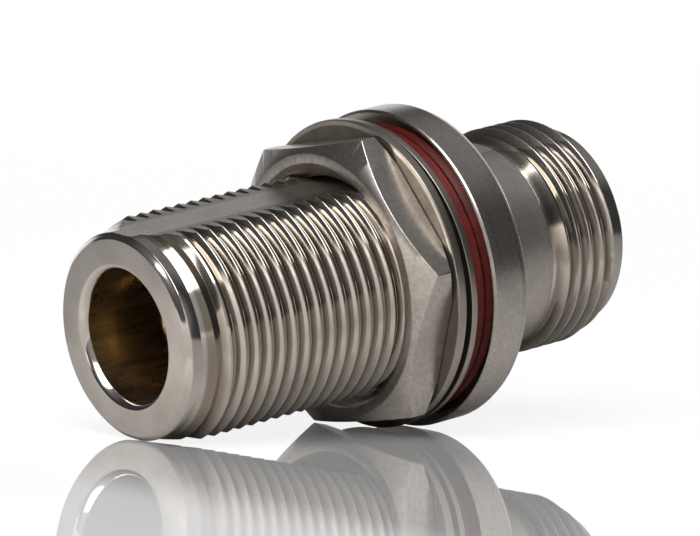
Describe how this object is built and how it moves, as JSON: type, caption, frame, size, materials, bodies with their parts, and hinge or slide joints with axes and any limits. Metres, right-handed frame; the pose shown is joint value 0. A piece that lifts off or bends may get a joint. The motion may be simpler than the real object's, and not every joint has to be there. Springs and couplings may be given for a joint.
{
  "type": "coaxial adapter",
  "caption": "Socket-to-socket coaxial adapter with a long threaded barrel, flange, gasket, washers and hexagon nut for fixing in a panel.",
  "frame": {"origin": "on the axis at the flange's front face, where the panel seats", "axes": "+X along the axis from the long barrel's mouth to the rear coupling, +Z out of the upper of the two flats milled along the barrel"},
  "size_m": [0.0384, 0.022, 0.022],
  "materials": {
    "nickel": "bright nickel plate over turned brass",
    "gold": "gold plate",
    "ptfe": "white fluoropolymer",
    "silicone": "red silicone rubber"
  },
  "bodies": {
    "shell": {"body": "nickel", "front_bush": "nickel", "rear_bush": "nickel", "bead": "ptfe", "front_contact": "gold", "rear_contact": "gold", "gasket": "silicone"},
    "washers": {"flat_washer": "nickel", "thin_washer": "nickel"},
    "nut": {"hex_nut": "nickel"}
  },
  "joints": [
    {"name": "washer_slide", "type": "slide", "parent": "shell", "child": "washers", "axis": [-1, 0, 0], "range_m": [0, 0.0135]},
    {"name": "nut_turn", "type": "hinge", "parent": "washers", "child": "nut", "pos_m": [-0.0043, 0, 0], "axis": [-1, 0, 0], "range_deg": [0, 4592.13]}
  ],
  "couplings": [
    {"joint": "washer_slide", "follows": "nut_turn", "m_per_rad": 0.00016844}
  ]
}
